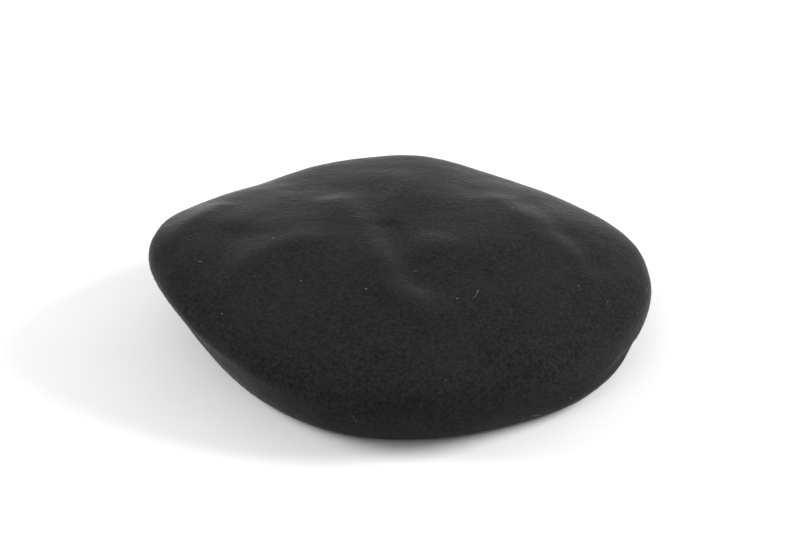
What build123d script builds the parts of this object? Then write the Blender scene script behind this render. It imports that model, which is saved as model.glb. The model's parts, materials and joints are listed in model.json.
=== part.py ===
"""A wool-felt beret, resting mouth down on a table.

The felt crown is one soft fulled shell: a flat sole round the head opening, a wall that leans out to a
rolled rim, and a low dome. Inside it are a leather sweatband round the oval head opening, with its welt,
tape, bow and stitching, and a loose satin lining with its labels.

Millimetres. +Z is up, the table is Z = 0, the wearer's brow faces -Y, and the bow is at the back, +Y.
The origin is under the middle of the crown, on the table.
"""

import os
from math import atan2, cos, degrees, pi, radians, sin

import numpy as np
from build123d import *

# --- The felt crown -------------------------------------------------------------------------------
RIM_RADIUS = 139.6  # the plateau: half of the crown's width at its rolled rim, on average
RIM_HEIGHT = 42.2  # the rim above the table, on average
FOOT_RADIUS = 113.3  # where the wall meets the table, on average
CROWN_HEIGHT = 72.2  # the top of the dome
SHOULDER = 10.5  # the dome's edge above the rim, on average
SHOULDER_TILT = 2.5  # how much fuller the shoulder is at the back, and slacker at the front
DOME_POWER = 2.0  # 2 is a round dome, and more is a flatter one
DIMPLE = 2.5  # the tack inside pulls the middle of the dome down
FELT = 2.6  # the felt's thickness

# The soft shape isn't round. Each wave is (lobes round the beret, size, direction of a crest in degrees),
# with 0 degrees at +X and 90 at +Y.
RIM_WAVES = [(2, 0.9, -40), (4, 2.7, 1)]
HEIGHT_WAVES = [(1, 7.4, -178), (2, 4.6, 8), (3, 4.0, -39), (4, 2.1, 11)]
FOOT_WAVES = [(1, 5.8, -63), (2, 3.4, -59), (3, 1.7, -49), (4, 3.5, -14)]

SECTION_POINTS = 24  # points round each lofted section
SECTIONS_PER_SPAN = 1.5  # sections between two neighbouring control rings
TOP_SECTIONS = [0.3, 0.1]  # two more sections close to the top, which keep the dimple round

# --- The head opening and its leather ---------------------------------------------------------------
HEAD_X, HEAD_Y = 84.0, 98.0  # half-axes of the oval inside the sweatband: 573 mm round, a 57-58 hat
BAND_THICKNESS = 1.2
BAND_BOTTOM, BAND_TOP = 2.1, 29.0
BAND_GAP = 1.0  # the butt joint at the back
WELT_RADIUS, WELT_OFFSET, WELT_Z = 0.8, 1.15, 1.05
TAPE_INNER, TAPE_OUTER, TAPE_TOP = 1.4, 2.0, 10.0
MOUTH_OFFSET = 2.3  # from the head oval out to the felt's cut edge
PLY_GAP = 0.15  # between one layer and the next
JOIN_TAPE_WIDTH, JOIN_TAPE_PLY = 12.0, 0.5

# --- The satin lining ---------------------------------------------------------------------------------
LINING = 0.8
LINING_FOOT_OFFSET, LINING_FOOT_Z = 3.0, 3.1
LINING_RADIUS = 118.0
LINING_EDGE_Z = 40.0
LINING_RISE = 3.0
BACK_SEAM_WIDTH, BACK_SEAM_PLY = 7.0, 0.6
PATCH_LENGTH, PATCH_WIDTH, PATCH_PLY = 76.0, 50.0, 0.6
PATCH_CORNER = 5.0
TACK_RADIUS, TACK_HEAD_RADIUS, TACK_HEAD = 0.6, 2.2, 0.6  # the thread bar, and the knot at each end of it

# --- The labels -----------------------------------------------------------------------------------------
CARE_WIDTH, CARE_LENGTH, CARE_PLY, CARE_CORNER = 32.0, 26.0, 0.5, 2.5
CARE_HINGE_Y, CARE_Z = 68.0, 39.45  # the fold line of the care label, and its middle height
CARE_HEM, CARE_HEM_RISE = 4.5, 0.2
CARE_CLEARANCE = 1.0  # beyond the fold, so that the leaf turns past the hem
SIZE_TAB_DEGREES = 63.0  # direction of the size tab on the sweatband
SIZE_TAB_WIDTH, SIZE_TAB_HEIGHT, SIZE_TAB_PLY = 15.0, 11.0, 0.4
SIZE_TAB_Z = 19.0
SIZE_TAB_INSET = 1.4  # from the tab's edge in to its corner stitches

# --- The bow --------------------------------------------------------------------------------------------
BOW_Z = 19.0
BOW_DEPTH, BOW_GAP = 3.6, 0.3  # how thick the bow is, and how far it clears the leather
RIBBON, RIBBON_WIDTH = 0.5, 8.0
LOOP_LENGTH, LOOP_GAP, LOOP_DROOP = 15.0, 0.55, 5.0  # the droop is in degrees
KNOT_WIDTH, KNOT_HEIGHT, KNOT_PROUD, KNOT_ROUNDING = 6.0, 9.0, 0.4, 1.2
TAIL_LENGTH, TAIL_WIDTH, TAIL_SPREAD = 12.5, 6.5, 30.0
TAIL_START, TAIL_CLEARANCE = 2.8, 1.3  # from the knot's middle out to a tail, and from its foot down
TAIL_NARROWING, TAIL_TAPER, TAIL_SLANT = 1.6, 3.0, 1.3  # the pinched root, its length and the cut end

# --- Thread ---------------------------------------------------------------------------------------------
THREAD = 0.28  # radius of a visible stitch
STITCH_GAP = 0.05  # between a stitch and the flat face that it lies on
CURVE_GAP = 0.35  # between a straight stitch and a curved face
JOIN_STITCH, JOIN_STITCH_TILT = 4.0, 14.0
JOIN_STITCH_HEIGHTS = [6.6, 26.0, 27.8]  # one under the bow and two above it
TACK_STITCH, TAB_STITCH, CARE_STITCH = 1.2, 2.0, 2.6
CARE_STITCHES, CARE_STITCH_PITCH = 7, 4.5

NORTH = pi / 2  # the back of the beret, where the leather and the lining are joined


# --- Shared geometry ------------------------------------------------------------------------------------
def wave(waves, angle):
    """The sum of the waves in one direction round the beret."""
    return sum(size * cos(lobes * (angle - radians(crest))) for lobes, size, crest in waves)


def control_profile(angle):
    """Control points (radius, height) of the crown's section in one direction, from the top to the sole."""
    rim = RIM_RADIUS + wave(RIM_WAVES, angle)
    height = RIM_HEIGHT + wave(HEIGHT_WAVES, angle)
    foot = FOOT_RADIUS + wave(FOOT_WAVES, angle)
    shoulder = height + SHOULDER + SHOULDER_TILT * sin(angle)

    def dome(share):
        return shoulder + (CROWN_HEIGHT - shoulder) * (1 - share**DOME_POWER)

    return [
        (-0.28 * rim, CROWN_HEIGHT - 0.6),  # past the middle, which keeps the dimple smooth
        (0, CROWN_HEIGHT - DIMPLE),
        (0.28 * rim, CROWN_HEIGHT - 0.6),
        (0.56 * rim, dome(0.56)),
        (0.80 * rim, dome(0.80)),
        (rim - 6, shoulder),
        (rim + 2, height + 1),  # round the rolled rim
        (rim, height - 12),
        (foot + 13, 0.35 * height - 1),  # the wall
        (foot + 3, 2),  # the turn at the foot
        (foot - 5, -1),  # just under the table, so that the cut at the table makes the flat sole
        (foot - 14, -1),
        (foot - 23, -1),
    ]


SPANS = len(control_profile(0)) - 3


def crown_point(angle, along):
    """A point of the crown's outside: along runs from 0 at the top to SPANS under the sole."""
    span = min(int(along), SPANS - 1)
    u = along - span
    weights = ((1 - u) ** 3, 3 * u**3 - 6 * u**2 + 4, -3 * u**3 + 3 * u**2 + 3 * u + 1, u**3)
    profile = control_profile(angle)[span : span + 4]
    radius = sum(w * r for w, (r, _) in zip(weights, profile)) / 6
    height = sum(w * z for w, (_, z) in zip(weights, profile)) / 6
    return np.array([radius * cos(angle), radius * sin(angle), height])


def inset_point(angle, along, depth):
    """The same point moved into the crown by depth, square to the surface."""
    step = 0.01
    if along == 0:
        return crown_point(0, 0) - np.array([0, 0, depth])
    round_way = crown_point(angle + step, along) - crown_point(angle - step, along)
    down_way = crown_point(angle, min(along + step, SPANS)) - crown_point(angle, along - step)
    normal = np.cross(down_way, round_way)
    return crown_point(angle, along) - depth * normal / np.linalg.norm(normal)


def crown_solid(depth):
    """The crown as a filled lump, inset by depth all over, and cut flat that far above the table."""
    angles = [2 * pi * k / SECTION_POINTS for k in range(SECTION_POINTS)]
    turns = [k / SECTION_POINTS for k in range(SECTION_POINTS + 1)]
    steps = range(int(SPANS * SECTIONS_PER_SPAN), 0, -1)
    sections = []
    for along in [step / SECTIONS_PER_SPAN for step in steps] + TOP_SECTIONS:
        points = [Vector(*inset_point(angle, along, depth)) for angle in angles]
        sections.append(Wire([Edge.make_spline(points, periodic=True, parameters=turns)]))
    sections.append(Vertex(*inset_point(0, 0, depth)))
    lump = Solid.make_loft(sections)
    above = Pos(0, 0, depth) * Box(400, 400, 200, align=(Align.CENTER, Align.CENTER, Align.MIN))
    return lump & above


def oval(offset):
    """The head oval, grown outward by offset."""
    return Ellipse(HEAD_X + offset, HEAD_Y + offset)


def oval_ring(inner, outer, bottom, top):
    """An upright ring between two offsets from the head oval."""
    return Pos(0, 0, bottom) * extrude(oval(outer) - oval(inner), top - bottom)


def oval_frame(direction, offset, height):
    """A place on the oval wall in a direction (radians): X runs along the wall, Y outward, Z up."""
    x, y = (HEAD_X + offset) * cos(direction), (HEAD_Y + offset) * sin(direction)
    outward = degrees(atan2(y / (HEAD_Y + offset) ** 2, x / (HEAD_X + offset) ** 2))
    return Pos(x, y, height) * Rot(0, 0, outward - 90)


def lining_shell(lower, upper):
    """The space between two heights above the lining tip's underside, which is a very shallow dome."""
    sphere = (LINING_RADIUS**2 + LINING_RISE**2) / (2 * LINING_RISE)
    centre = LINING_EDGE_Z + LINING_RISE - sphere
    return Pos(0, 0, centre) * (Sphere(sphere + upper) - Sphere(sphere + lower))


def stitch(length, radius=THREAD):
    """One stitch, lying along X."""
    return Rot(0, 90, 0) * Cylinder(radius, length)


# --- The felt and what is sewn round its mouth ------------------------------------------------------------
def felt_crown():
    mouth = Pos(0, 0, -5) * extrude(oval(MOUTH_OFFSET), 5 + 2 * FELT)
    return crown_solid(0) - crown_solid(FELT) - mouth


def stay_tape():
    return oval_ring(TAPE_INNER, TAPE_OUTER, BAND_BOTTOM, TAPE_TOP)


def edge_welt():
    path = Pos(0, 0, WELT_Z) * oval(WELT_OFFSET).edges()[0]
    section = Plane(origin=path @ 0, z_dir=path % 0) * Circle(WELT_RADIUS)
    return sweep(section, path=path)


def sweatband():
    joint = Pos(0, HEAD_Y, BAND_TOP / 2) * Box(BAND_GAP, 10, 2 * BAND_TOP)
    return oval_ring(0, BAND_THICKNESS, BAND_BOTTOM, BAND_TOP) - joint


def join_tape():
    """A strip behind the leather that backs the butt joint, above the stay tape."""
    strip = Pos(0, HEAD_Y, 0) * Box(JOIN_TAPE_WIDTH, 20, 200)
    inner = BAND_THICKNESS + PLY_GAP
    return oval_ring(inner, inner + JOIN_TAPE_PLY, TAPE_TOP + PLY_GAP, BAND_TOP - 1) & strip


def join_stitches():
    """Cross stitches that draw the two ends of the leather together, above the bow and under it."""
    slanted = Rot(0, JOIN_STITCH_TILT, 0) * stitch(JOIN_STITCH)
    return [oval_frame(NORTH, -THREAD - STITCH_GAP, z) * slanted for z in JOIN_STITCH_HEIGHTS]


# --- The bow ------------------------------------------------------------------------------------------------
def bow_frame(along=0.0, height=BOW_Z):
    """A place in the middle of the bow's depth, a distance along the leather from the back."""
    return oval_frame(NORTH - along / HEAD_X, -BOW_GAP - BOW_DEPTH / 2, height)


def bow_loops():
    """Two flattened ribbon loops, each a closed band, one each side of the knot."""
    loops = []
    for side in (-1, 1):
        outer = SlotOverall(LOOP_LENGTH, BOW_DEPTH)
        inner = SlotOverall(LOOP_LENGTH - 2 * RIBBON, BOW_DEPTH - 2 * RIBBON)
        loop = extrude(outer - inner, RIBBON_WIDTH / 2, both=True)
        along = side * (KNOT_WIDTH / 2 + LOOP_GAP + LOOP_LENGTH / 2)
        loops.append(bow_frame(along) * Rot(0, side * LOOP_DROOP, 0) * loop)
    return loops


def bow_knot():
    body = Box(KNOT_WIDTH, BOW_DEPTH + KNOT_PROUD, KNOT_HEIGHT)
    return bow_frame() * fillet(body.edges(), KNOT_ROUNDING)


def tail_hinge(side):
    """The place where a tail leaves the knot: X across the ribbon, Z up along it."""
    knot_foot = BOW_Z - KNOT_HEIGHT / 2 - TAIL_CLEARANCE
    return bow_frame(0, knot_foot) * Pos(side * TAIL_START, 0, 0) * Rot(0, -side * TAIL_SPREAD, 0)


def bow_tail(side):
    """A flat ribbon end, cut on the slant, which hangs from the knot against the leather."""
    half = TAIL_WIDTH / 2
    root = half - TAIL_NARROWING
    slant = side * TAIL_SLANT
    corners = [(-root, 0), (root, 0), (half, -TAIL_TAPER)]
    corners += [(half, -TAIL_LENGTH - slant), (-half, -TAIL_LENGTH + slant), (-half, -TAIL_TAPER)]
    ribbon = extrude(make_face(Plane.XZ * Polyline(*corners, close=True)), RIBBON / 2, both=True)
    return tail_hinge(side) * ribbon


def bow_stitches():
    """Two tacks over the top of the knot, into the leather."""
    top = BOW_Z + KNOT_HEIGHT / 2 + TACK_STITCH / 2 + PLY_GAP
    upright = Rot(0, 90, 0) * stitch(TACK_STITCH)
    return [oval_frame(NORTH - x / HEAD_X, -THREAD - STITCH_GAP, top) * upright for x in (-1.3, 1.3)]


# --- The lining ---------------------------------------------------------------------------------------------
def lining_wall(inner, outer):
    """The sloping lining wall between two offsets: oval at the sweatband, and round at the tip."""

    def lump(grown):
        foot = Pos(0, 0, LINING_FOOT_Z) * oval(LINING_FOOT_OFFSET + grown)
        top = Pos(0, 0, LINING_EDGE_Z - PLY_GAP) * Circle(LINING_RADIUS - LINING + grown)
        return loft([foot, top])

    return lump(outer) - lump(inner)


def lining_side():
    return lining_wall(0, LINING)


def lining_back_seam():
    """The lapped allowance where the ends of the side lining are joined, on its inner face."""
    strip = Pos(0, 110, 0) * Box(BACK_SEAM_WIDTH, 60, 200)
    return lining_wall(-PLY_GAP - BACK_SEAM_PLY, -PLY_GAP) & strip


def lining_tip():
    disc = Pos(0, 0, LINING_EDGE_Z - 5) * extrude(Circle(LINING_RADIUS), 30)
    return lining_shell(0, LINING) & disc


def centre_tack():
    """A thread bar from the lining tip up to the felt, which keeps the lining from falling out."""
    bottom = LINING_EDGE_Z + LINING_RISE + LINING + PLY_GAP
    top = inset_point(0, 0, FELT)[2] - 3 * PLY_GAP
    bar = Pos(0, 0, (bottom + top) / 2) * Cylinder(TACK_RADIUS, top - bottom)
    knot = Cylinder(TACK_HEAD_RADIUS, TACK_HEAD)
    return bar + Pos(0, 0, bottom + TACK_HEAD / 2) * knot + Pos(0, 0, top - TACK_HEAD / 2) * knot


def lining_patch():
    """A blank lozenge of leather sewn under the middle of the tip."""
    half_x, half_y = PATCH_LENGTH / 2, PATCH_WIDTH / 2
    lozenge = Polygon((half_x, 0), (0, half_y), (-half_x, 0), (0, -half_y))
    outline = fillet(lozenge.vertices(), PATCH_CORNER)
    column = Pos(0, 0, LINING_EDGE_Z - 10) * extrude(outline, 40)
    return lining_shell(-PLY_GAP - PATCH_PLY, -PLY_GAP) & column


# --- The labels ---------------------------------------------------------------------------------------------
def size_tab():
    place = oval_frame(radians(SIZE_TAB_DEGREES), 0, SIZE_TAB_Z)
    window = place * Box(SIZE_TAB_WIDTH, 8, SIZE_TAB_HEIGHT)
    return oval_ring(-PLY_GAP - SIZE_TAB_PLY, -PLY_GAP, 0, BAND_TOP) & window


def size_tab_stitches():
    place = oval_frame(radians(SIZE_TAB_DEGREES), -PLY_GAP - SIZE_TAB_PLY - THREAD - CURVE_GAP, SIZE_TAB_Z)
    x, z = SIZE_TAB_WIDTH / 2 - SIZE_TAB_INSET, SIZE_TAB_HEIGHT / 2 - SIZE_TAB_INSET
    corners = [(-x, -z), (x, -z), (x, z), (-x, z)]
    return [place * Pos(px, 0, pz) * Rot(0, 45, 0) * stitch(TAB_STITCH) for px, pz in corners]


def care_label():
    """The loose leaf of the care label, which swings on its fold."""
    leaf = Rectangle(CARE_WIDTH, CARE_LENGTH)
    free_corners = leaf.vertices().sort_by(Axis.Y)[:2]
    outline = fillet(free_corners, CARE_CORNER)
    middle = CARE_HINGE_Y - CARE_LENGTH / 2
    return Pos(0, middle, CARE_Z - CARE_PLY / 2) * extrude(outline, CARE_PLY)


def care_label_hem():
    """The sewn edge of the care label, beyond the fold."""
    middle = CARE_HINGE_Y + CARE_CLEARANCE + CARE_HEM / 2
    return Pos(0, middle, CARE_Z + CARE_HEM_RISE) * Box(CARE_WIDTH, CARE_HEM, CARE_PLY)


def care_label_stitches():
    y = CARE_HINGE_Y + CARE_CLEARANCE + CARE_HEM / 2
    z = CARE_Z + CARE_HEM_RISE - CARE_PLY / 2 - THREAD - STITCH_GAP
    first = -CARE_STITCH_PITCH * (CARE_STITCHES - 1) / 2
    return [Pos(first + k * CARE_STITCH_PITCH, y, z) * stitch(CARE_STITCH) for k in range(CARE_STITCHES)]


# --- Writing the files --------------------------------------------------------------------------------------
SUBPARTS = {
    "felt_crown": felt_crown,
    "stay_tape": stay_tape,
    "edge_welt": edge_welt,
    "sweatband": sweatband,
    "sweatband_join_tape": join_tape,
    "sweatband_join_stitches": join_stitches,
    "bow_loops": bow_loops,
    "bow_knot": bow_knot,
    "bow_tail_left": lambda: bow_tail(-1),
    "bow_tail_right": lambda: bow_tail(1),
    "bow_stitches": bow_stitches,
    "lining_side": lining_side,
    "lining_back_seam": lining_back_seam,
    "lining_tip": lining_tip,
    "lining_centre_tack": centre_tack,
    "lining_patch": lining_patch,
    "size_tab": size_tab,
    "size_tab_stitches": size_tab_stitches,
    "care_label": care_label,
    "care_label_hem": care_label_hem,
    "care_label_stitches": care_label_stitches,
}

os.makedirs("parts", exist_ok=True)
for name, make in SUBPARTS.items():
    shape = make()
    solids = shape if isinstance(shape, list) else [shape]
    whole = Compound(children=[solid for piece in solids for solid in piece.solids()])
    export_step(whole, f"parts/{name}.step")
    box = whole.bounding_box()
    count = len(whole.solids())
    print(f"{name:26s} solids {count:2d}  volume {whole.volume:9.1f}  z {box.min.Z:6.2f} to {box.max.Z:6.2f}")
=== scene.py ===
"""The looks of a black wool-felt beret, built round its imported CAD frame.

Shapes are worked out in millimetres, in the frame of the CAD model (+Z up, brow at -Y, bow at +Y), and turned
into metres as each mesh is made.
"""

import json
import math
import random

import bmesh
import bpy
import numpy as np
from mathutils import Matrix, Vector, noise


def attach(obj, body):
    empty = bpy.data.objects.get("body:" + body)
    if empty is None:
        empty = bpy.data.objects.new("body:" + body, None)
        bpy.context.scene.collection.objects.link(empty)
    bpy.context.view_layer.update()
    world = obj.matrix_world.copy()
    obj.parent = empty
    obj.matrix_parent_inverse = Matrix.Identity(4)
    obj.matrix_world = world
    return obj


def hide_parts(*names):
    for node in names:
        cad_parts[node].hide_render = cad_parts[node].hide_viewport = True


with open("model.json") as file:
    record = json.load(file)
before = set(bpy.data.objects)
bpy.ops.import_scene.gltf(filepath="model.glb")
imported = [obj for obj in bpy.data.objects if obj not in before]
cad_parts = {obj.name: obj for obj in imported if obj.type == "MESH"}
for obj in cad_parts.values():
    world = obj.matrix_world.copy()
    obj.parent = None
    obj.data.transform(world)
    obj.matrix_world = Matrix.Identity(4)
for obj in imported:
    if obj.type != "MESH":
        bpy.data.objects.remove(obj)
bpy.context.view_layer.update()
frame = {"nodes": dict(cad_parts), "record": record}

MM = 0.001
TAU = 2 * math.pi
NORTH = math.pi / 2  # the back of the beret

# --- The crown's shape, as in the CAD model -------------------------------------------------------
RIM_RADIUS, RIM_HEIGHT, FOOT_RADIUS = 139.6, 42.2, 113.3
CROWN_HEIGHT, DOME_POWER, DIMPLE = 72.2, 2.0, 2.5
SHOULDER, SHOULDER_TILT = 10.5, 2.5
FELT = 2.6
# (lobes round the beret, size, direction of a crest in degrees)
RIM_WAVES = [(2, 0.9, -40), (4, 2.7, 1)]
HEIGHT_WAVES = [(1, 7.4, -178), (2, 4.6, 8), (3, 4.0, -39), (4, 2.1, 11)]
FOOT_WAVES = [(1, 5.8, -63), (2, 3.4, -59), (3, 1.7, -49), (4, 3.5, -14)]

# Local slumps of the soft felt: (direction and half-width in degrees, then what each adds to the rim's
# radius, the rim's height and the foot's radius)
SLUMPS = [
    (18, 13, 1.0, 2.0, 0.0),
    (42, 15, -0.4, 3.6, 0.0),
    (63, 12, -1.0, 1.8, 0.0),
    (84, 14, 0.0, 4.2, 0.0),
    (116, 14, 0.0, 2.8, 0.0),
    (145, 16, -0.2, 3.8, 0.0),
    (170, 14, 0.8, 2.4, 0.0),
    (188, 12, 1.6, 0.0, 0.0),
    (214, 12, 1.2, 0.0, 0.8),
    (314, 13, 0.0, 0.0, 2.6),
    (338, 14, 1.6, 0.0, 2.4),
]

# Folds and dents of the top, as strokes seen from above: (height, half-width, points)
FOLDS = [
    (1.9, 11, [(-37, 33), (-24, -4), (-18, -36), (-12, -66), (0, -80), (14, -90)]),
    (0.9, 10, [(-4, -76), (14, -90)]),
    (-1.2, 14, [(-16, 60), (-10, 20)]),
    (-2.2, 9, [(-8, 0), (1, -40), (10, -64)]),
    (1.3, 14, [(22, -26)]),
    (-1.0, 14, [(42, -54)]),
    (-1.6, 13, [(-92, -14), (-100, -38), (-106, -64)]),
    (1.9, 12, [(-57, -23), (-77, -39), (-89, -55), (-96, -67)]),
    (1.2, 8, [(-130, -22), (-121, 6), (-108, 36)]),
    (1.6, 13, [(58, 44), (78, 12), (92, -17)]),
    (-1.2, 11, [(98, 4), (108, -24)]),
]

# Tucks and rolls of the rim: (height, direction, half-width in degrees, place along the section, half-depth)
TUCKS = [
    (1.1, 234, 28, 5.4, 0.6),
    (-0.5, 230, 22, 6.2, 0.5),
    (-2.2, 333, 9, 6.6, 0.4),
    (-1.0, 212, 7, 6.3, 0.4),
]

# Lint and a stray hair on the top, seen from above
LINT_PLACES = [
    (-56, -62),
    (-111, -43),
    (-72, -20),
    (8, -52),
    (-20, -70),
    (31, -78),
    (97, -52),
    (112, -60),
    (64, 30),
]
HAIR_PLACE = (42, -68)

# --- The head opening -----------------------------------------------------------------------------
HEAD_X, HEAD_Y = 84.0, 98.0
MOUTH_OFFSET = 2.3


# --- Small tools ----------------------------------------------------------------------------------
def wave(waves, angle):
    """The sum of the waves in each direction round the beret."""
    return sum(size * np.cos(lobes * (angle - math.radians(crest))) for lobes, size, crest in waves)


def turn_between(angle, degrees):
    """How far an angle is from a direction, in degrees."""
    return (np.degrees(angle) - degrees + 180) % 360 - 180


def mesh_object(name, vertices, faces, material, smooth=True):
    """A mesh object from millimetres, with its normals pointing out."""
    mesh = bpy.data.meshes.new(name)
    mesh.from_pydata((np.asarray(vertices) * MM).tolist(), [], faces)
    editing = bmesh.new()
    editing.from_mesh(mesh)
    bmesh.ops.recalc_face_normals(editing, faces=editing.faces)
    editing.to_mesh(mesh)
    editing.free()
    mesh.polygons.foreach_set("use_smooth", [smooth] * len(mesh.polygons))
    mesh.materials.append(material)
    piece = bpy.data.objects.new(name, mesh)
    bpy.context.scene.collection.objects.link(piece)
    return piece


def skin_faces(rows, columns, first=0, wrap=False):
    """Faces over rows of closed loops. The ends are capped, unless the last row joins on to the first one."""
    faces = []
    for row in range(rows if wrap else rows - 1):
        here, there = first + row * columns, first + (row + 1) % rows * columns
        for column in range(columns):
            after = (column + 1) % columns
            faces.append((here + column, here + after, there + after, there + column))
    if not wrap:
        faces.append(tuple(first + column for column in reversed(range(columns))))
        faces.append(tuple(first + (rows - 1) * columns + column for column in range(columns)))
    return faces


def skin(name, loops, material, wrap=False):
    """One closed piece skinned over an array of loops: rows x columns x 3."""
    loops = np.asarray(loops)
    faces = skin_faces(len(loops), loops.shape[1], wrap=wrap)
    return mesh_object(name, loops.reshape(-1, 3), faces, material)


def many_skins(name, all_loops, material):
    """Many separate closed tubes in one object."""
    vertices, faces, first = [], [], 0
    for loops in all_loops:
        loops = np.asarray(loops)
        vertices.append(loops.reshape(-1, 3))
        faces += skin_faces(len(loops), loops.shape[1], first)
        first += loops.shape[0] * loops.shape[1]
    return mesh_object(name, np.concatenate(vertices), faces, material)


def finish_piece(piece, body, slot, *replaced):
    """Parent a piece to the body it rides on and hide the CAD nodes that it stands for. The slot, its finish,
    is not used.
    """
    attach(piece, body)
    if replaced:
        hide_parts(*replaced)
    return piece


# --- Node helpers ---------------------------------------------------------------------------------
class Material:
    """A node material with a Principled shader and the few nodes that the recipes below share."""

    def __init__(self, name, roughness, **sockets):
        self.material = bpy.data.materials.new(name)
        self.material.use_nodes = True
        self.nodes = self.material.node_tree.nodes
        self.links = self.material.node_tree.links
        self.shader = self.nodes["Principled BSDF"]
        self.shader.inputs["Roughness"].default_value = roughness
        for socket, value in sockets.items():
            self.shader.inputs[socket.replace("_", " ")].default_value = value
        self.place = self.nodes.new("ShaderNodeTexCoord").outputs["Object"]

    def node(self, kind, inputs=(), **settings):
        node = self.nodes.new("ShaderNode" + kind)
        for name, value in settings.items():
            setattr(node, name, value)
        for name, value in dict(inputs).items():
            if hasattr(value, "is_linked"):
                self.links.new(value, node.inputs[name])
            else:
                node.inputs[name].default_value = value
        return node

    def noise(self, scale, detail=3.0, roughness=0.55, stretch=None):
        where = self.place
        if stretch:
            where = self.node("Mapping", {"Vector": self.place, "Scale": stretch}).outputs["Vector"]
        inputs = {"Vector": where, "Scale": scale, "Detail": detail, "Roughness": roughness}
        return self.node("TexNoise", inputs).outputs["Fac"]

    def ramp(self, factor, stops):
        node = self.node("ValToRGB", {"Fac": factor})
        ramp = node.color_ramp
        for stop, (position, colour) in zip((ramp.elements[0], ramp.elements[1]), (stops[0], stops[-1])):
            stop.position, stop.color = position, (*colour, 1)
        for position, colour in stops[1:-1]:
            ramp.elements.new(position).color = (*colour, 1)
        return node.outputs["Color"]

    def mix(self, factor, a, b):
        node = self.nodes.new("ShaderNodeMix")
        node.data_type = "RGBA"
        sockets = [s for s in node.inputs if s.enabled]
        for socket, value in zip(sockets, (factor, a, b)):
            if hasattr(value, "is_linked"):
                self.links.new(value, socket)
            elif isinstance(value, tuple):
                socket.default_value = (*value, 1)
            else:
                socket.default_value = value
        return next(s for s in node.outputs if s.enabled)

    def math(self, operation, a, b):
        node = self.node("Math", operation=operation)
        for socket, value in zip(node.inputs, (a, b)):
            if hasattr(value, "is_linked"):
                self.links.new(value, socket)
            else:
                socket.default_value = value
        return node.outputs["Value"]

    def range(self, value, low, high, to_low, to_high):
        inputs = {"Value": value, "From Min": low, "From Max": high, "To Min": to_low, "To Max": to_high}
        return self.node("MapRange", inputs).outputs["Result"]

    def colour(self, socket):
        self.links.new(socket, self.shader.inputs["Base Color"])

    def roughness(self, socket):
        self.links.new(socket, self.shader.inputs["Roughness"])

    def bump(self, height, distance_mm, strength, under=None):
        inputs = {"Height": height, "Distance": distance_mm * MM, "Strength": strength}
        if under is not None:
            inputs["Normal"] = under
        normal = self.node("Bump", inputs).outputs["Normal"]
        self.links.new(normal, self.shader.inputs["Normal"])
        return normal


# --- Materials ------------------------------------------------------------------------------------
BAND_PERIOD = TAU / 20  # of a wave texture at a scale of 1


def felt_material(name, sheen):
    """Near-black fulled wool: a matt mottled nap with a pale sheen where it is seen edge on."""
    felt = Material(
        name,
        0.92,
        Sheen_Weight=sheen,
        Sheen_Roughness=0.27,
        Sheen_Tint=(0.70, 0.69, 0.73, 1),
        Specular_IOR_Level=0.1,
    )
    clouds = felt.ramp(felt.noise(22, 4), [(0.32, (0.0034, 0.0034, 0.0033)), (0.7, (0.0076, 0.0075, 0.0073))])
    nap = felt.noise(470, 4.0, 0.68)
    flecked = felt.mix(felt.range(nap, 0.36, 0.72, 0, 1), clouds, (0.017, 0.0168, 0.0162))
    dust = felt.node("TexVoronoi", {"Vector": felt.place, "Scale": 240.0}).outputs["Distance"]
    speck = felt.range(dust, 0.035, 0.06, 0.55, 0.0)
    felt.colour(felt.mix(speck, flecked, (0.11, 0.11, 0.108)))
    felt.roughness(felt.range(nap, 0.3, 0.7, 0.98, 0.84))
    under = felt.bump(felt.noise(260, 4, 0.6), 0.5, 0.6)
    felt.bump(nap, 0.26, 0.7, under)
    return felt.material


def leather_material(name, dark, light, scale):
    leather = Material(name, 0.5, Specular_IOR_Level=0.45)
    grain = leather.node("TexVoronoi", {"Vector": leather.place, "Scale": scale}).outputs["Distance"]
    patches = leather.noise(45, 5)
    leather.colour(leather.ramp(patches, [(0.3, dark), (0.72, light)]))
    leather.roughness(leather.range(patches, 0.3, 0.7, 0.42, 0.62))
    under = leather.bump(grain, 0.12, 0.7)
    leather.bump(leather.noise(1400, 3), 0.04, 0.5, under)
    return leather.material


def satin_material():
    satin = Material("satin_lining", 0.3, Anisotropic=0.6, Sheen_Weight=0.15, Specular_IOR_Level=0.6)
    warp = satin.noise(60, 3, 0.5, (1, 60, 60))
    satin.colour(satin.ramp(warp, [(0.3, (0.007, 0.007, 0.009)), (0.75, (0.019, 0.019, 0.024))]))
    satin.roughness(satin.range(warp, 0.3, 0.7, 0.24, 0.42))
    satin.bump(satin.noise(200, 2, 0.5, (1, 20, 20)), 0.03, 0.4)
    return satin.material


def woven_material(name, dark, light, threads_per_mm, roughness=0.8):
    """A plain weave: two crossed sets of threads, with slubs."""
    woven = Material(name, roughness, Specular_IOR_Level=0.25, Sheen_Weight=0.2)
    scale = threads_per_mm / MM * BAND_PERIOD
    height = None
    for direction in ("X", "Y", "Z"):
        inputs = {"Vector": woven.place, "Scale": scale, "Distortion": 0.6, "Detail": 1.0}
        bands = woven.node("TexWave", inputs, bands_direction=direction).outputs["Fac"]
        height = bands if height is None else woven.math("MULTIPLY", height, woven.math("ADD", bands, 0.35))
    slubs = woven.noise(300, 3)
    woven.colour(woven.mix(woven.range(height, 0, 0.8, 0, 1), dark, woven.mix(slubs, light, dark)))
    woven.roughness(woven.range(slubs, 0.3, 0.7, roughness - 0.08, roughness + 0.1))
    woven.bump(height, 0.12, 0.8)
    return woven.material


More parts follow.
